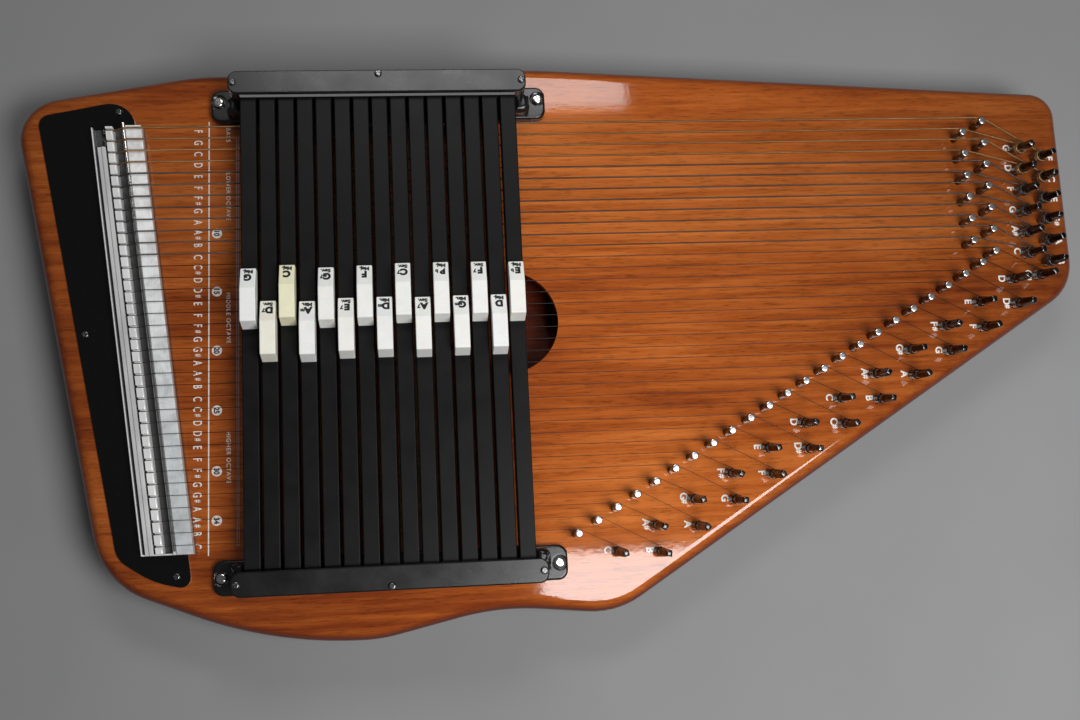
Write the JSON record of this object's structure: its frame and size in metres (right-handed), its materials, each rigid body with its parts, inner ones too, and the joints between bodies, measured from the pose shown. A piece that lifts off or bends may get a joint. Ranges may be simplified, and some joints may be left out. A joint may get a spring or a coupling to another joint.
{
  "type": "chorded zither",
  "caption": "Flat stringed instrument with a glossy wooden body, damper bars pressed by push buttons, staggered tuning pins and a metal tailpiece.",
  "frame": {"origin": "centre of the outline's box, on the plane the rubber feet stand on", "axes": "+X along the strings from the tailpiece to the tuning pins, +Y to the bass side, +Z out of the soundboard"},
  "size_m": [0.603, 0.3201, 0.075],
  "materials": {
    "top_lacquer": "gloss lacquer over a stained wood top",
    "body_lacquer": "gloss lacquer, dark stain on the sides and back",
    "bare_spruce": "bare planed spruce",
    "foot_rubber": "matt moulded rubber",
    "zinc_screw": "zinc plated",
    "black_enamel": "gloss black enamel on sheet steel",
    "black_screw": "blackened",
    "cast_alloy": "dark grey casting",
    "strip_alloy": "bare, drawn",
    "anchor_steel": "plated, worn bright",
    "nickel": "polished plating",
    "brushed_plate": "brushed lengthways",
    "ball_steel": "turned, dulled dark",
    "wound_bronze": "close-wound wire",
    "plain_steel": "drawn wire",
    "blued_steel": "dark oxide",
    "black_plastic": "fine moulded texture",
    "black_gloss": "satin black moulding",
    "bar_plastic": "black bar with a pale felt strip below",
    "button_white": "ivory white moulding",
    "foam_strip": "grey felt",
    "spring_steel": "drawn wire"
  },
  "bodies": {
    "root": {"soundboard": "top_lacquer", "back_panel": "body_lacquer", "pin_block": "body_lacquer", "tail_block": "body_lacquer", "bass_rail": "body_lacquer", "treble_rail": "body_lacquer", "soundboard_braces": "bare_spruce", "rubber_feet": "foot_rubber", "foot_screws": "zinc_screw", "tail_cover": "black_enamel", "tail_cover_screws": "black_screw", "tail_channel": "cast_alloy", "tail_channel_screws": "nickel", "anchor_bar": "anchor_steel", "locking_strip": "strip_alloy", "bridge_rod": "nickel", "bridge_plate": "brushed_plate", "string_ends": "ball_steel", "wound_strings": "wound_bronze", "plain_strings": "plain_steel", "guide_pins": "nickel", "tuning_pins": "blued_steel", "bar_holder_bass": "black_plastic", "bar_holder_treble": "black_plastic", "bar_cover_bass": "black_gloss", "bar_cover_treble": "black_gloss", "cover_screws": "nickel", "holder_screws": "nickel", "cover_pads": "foam_strip", "return_springs": "spring_steel"},
    "bar_01": {"chord_bar_01": "bar_plastic", "button_01": "button_white"},
    "bar_02": {"chord_bar_02": "bar_plastic", "button_02": "button_white"},
    "bar_03": {"chord_bar_03": "bar_plastic", "button_03": "button_white"},
    "bar_04": {"chord_bar_04": "bar_plastic", "button_04": "button_white"},
    "bar_05": {"chord_bar_05": "bar_plastic", "button_05": "button_white"},
    "bar_06": {"chord_bar_06": "bar_plastic", "button_06": "button_white"},
    "bar_07": {"chord_bar_07": "bar_plastic", "button_07": "button_white"},
    "bar_08": {"chord_bar_08": "bar_plastic", "button_08": "button_white"},
    "bar_09": {"chord_bar_09": "bar_plastic", "button_09": "button_white"},
    "bar_10": {"chord_bar_10": "bar_plastic", "button_10": "button_white"},
    "bar_11": {"chord_bar_11": "bar_plastic", "button_11": "button_white"},
    "bar_12": {"chord_bar_12": "bar_plastic", "button_12": "button_white"},
    "bar_13": {"chord_bar_13": "bar_plastic", "button_13": "button_white"},
    "bar_14": {"chord_bar_14": "bar_plastic", "button_14": "button_white"},
    "bar_15": {"chord_bar_15": "bar_plastic", "button_15": "button_white"}
  },
  "joints": [
    {"name": "press_01", "type": "slide", "parent": "root", "child": "bar_01", "axis": [0, 0, -1], "range_m": [0, 0.0026], "stiffness_N_per_m": 300, "springref_m": -0.002, "deforming": ["return_springs"]},
    {"name": "press_02", "type": "slide", "parent": "root", "child": "bar_02", "axis": [0, 0, -1], "range_m": [0, 0.0026], "stiffness_N_per_m": 300, "springref_m": -0.002, "deforming": ["return_springs"]},
    {"name": "press_03", "type": "slide", "parent": "root", "child": "bar_03", "axis": [0, 0, -1], "range_m": [0, 0.0026], "stiffness_N_per_m": 300, "springref_m": -0.002, "deforming": ["return_springs"]},
    {"name": "press_04", "type": "slide", "parent": "root", "child": "bar_04", "axis": [0, 0, -1], "range_m": [0, 0.0026], "stiffness_N_per_m": 300, "springref_m": -0.002, "deforming": ["return_springs"]},
    {"name": "press_05", "type": "slide", "parent": "root", "child": "bar_05", "axis": [0, 0, -1], "range_m": [0, 0.0026], "stiffness_N_per_m": 300, "springref_m": -0.002, "deforming": ["return_springs"]},
    {"name": "press_06", "type": "slide", "parent": "root", "child": "bar_06", "axis": [0, 0, -1], "range_m": [0, 0.0026], "stiffness_N_per_m": 300, "springref_m": -0.002, "deforming": ["return_springs"]},
    {"name": "press_07", "type": "slide", "parent": "root", "child": "bar_07", "axis": [0, 0, -1], "range_m": [0, 0.0026], "stiffness_N_per_m": 300, "springref_m": -0.002, "deforming": ["return_springs"]},
    {"name": "press_08", "type": "slide", "parent": "root", "child": "bar_08", "axis": [0, 0, -1], "range_m": [0, 0.0026], "stiffness_N_per_m": 300, "springref_m": -0.002, "deforming": ["return_springs"]},
    {"name": "press_09", "type": "slide", "parent": "root", "child": "bar_09", "axis": [0, 0, -1], "range_m": [0, 0.0026], "stiffness_N_per_m": 300, "springref_m": -0.002, "deforming": ["return_springs"]},
    {"name": "press_10", "type": "slide", "parent": "root", "child": "bar_10", "axis": [0, 0, -1], "range_m": [0, 0.0026], "stiffness_N_per_m": 300, "springref_m": -0.002, "deforming": ["return_springs"]},
    {"name": "press_11", "type": "slide", "parent": "root", "child": "bar_11", "axis": [0, 0, -1], "range_m": [0, 0.0026], "stiffness_N_per_m": 300, "springref_m": -0.002, "deforming": ["return_springs"]},
    {"name": "press_12", "type": "slide", "parent": "root", "child": "bar_12", "axis": [0, 0, -1], "range_m": [0, 0.0026], "stiffness_N_per_m": 300, "springref_m": -0.002, "deforming": ["return_springs"]},
    {"name": "press_13", "type": "slide", "parent": "root", "child": "bar_13", "axis": [0, 0, -1], "range_m": [0, 0.0026], "stiffness_N_per_m": 300, "springref_m": -0.002, "deforming": ["return_springs"]},
    {"name": "press_14", "type": "slide", "parent": "root", "child": "bar_14", "axis": [0, 0, -1], "range_m": [0, 0.0026], "stiffness_N_per_m": 300, "springref_m": -0.002, "deforming": ["return_springs"]},
    {"name": "press_15", "type": "slide", "parent": "root", "child": "bar_15", "axis": [0, 0, -1], "range_m": [0, 0.0026], "stiffness_N_per_m": 300, "springref_m": -0.002, "deforming": ["return_springs"]}
  ]
}
